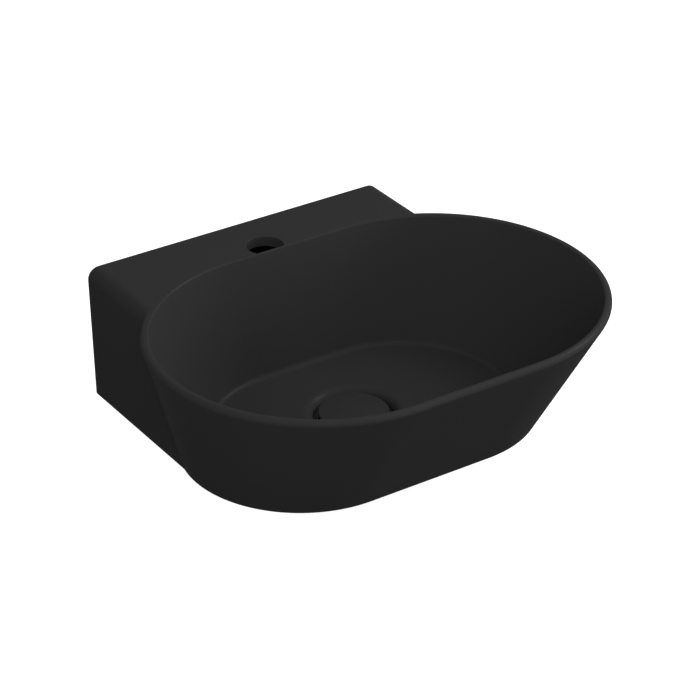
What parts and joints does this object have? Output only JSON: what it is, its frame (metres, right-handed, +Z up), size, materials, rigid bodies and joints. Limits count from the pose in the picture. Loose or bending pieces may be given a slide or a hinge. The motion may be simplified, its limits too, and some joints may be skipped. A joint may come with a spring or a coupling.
{
  "type": "washbasin",
  "caption": "Wall-hung washbasin: oblong tapered ceramic bowl, rear ledge with a tap hole, and a push-open domed drain plug on a spring latch.",
  "frame": {"origin": "midpoint between the two wall fixing holes, on the wall plane at the back of the ledge", "axes": "+X to the right along the wall as seen from the front, +Y into the wall, +Z up"},
  "size_m": [0.4426, 0.3714, 0.1925],
  "materials": {
    "black_ceramic": "matte black glaze",
    "chromed_brass": "polished plating on brass",
    "brass": "machined",
    "black_rubber": "moulded",
    "white_plastic": "moulded acetal",
    "spring_steel": "drawn stainless wire"
  },
  "bodies": {
    "basin": {"basin_body": "black_ceramic", "waste_body": "chromed_brass", "flange_gasket": "black_rubber", "lower_gasket": "black_rubber", "friction_washer": "white_plastic", "back_nut": "brass", "cartridge_sleeve": "white_plastic", "cartridge_collar": "brass", "stem_wiper": "black_rubber", "return_spring": "spring_steel"},
    "plug": {"drain_cap": "black_ceramic", "cap_carrier": "brass", "plug_seal": "black_rubber", "lock_nut": "brass", "plunger": "brass", "latch_ring": "white_plastic"}
  },
  "joints": [
    {"name": "plug_travel", "type": "slide", "parent": "basin", "child": "plug", "axis": [0, 0, 1], "range_m": [0, 0.008], "deforming": ["return_spring"]}
  ]
}
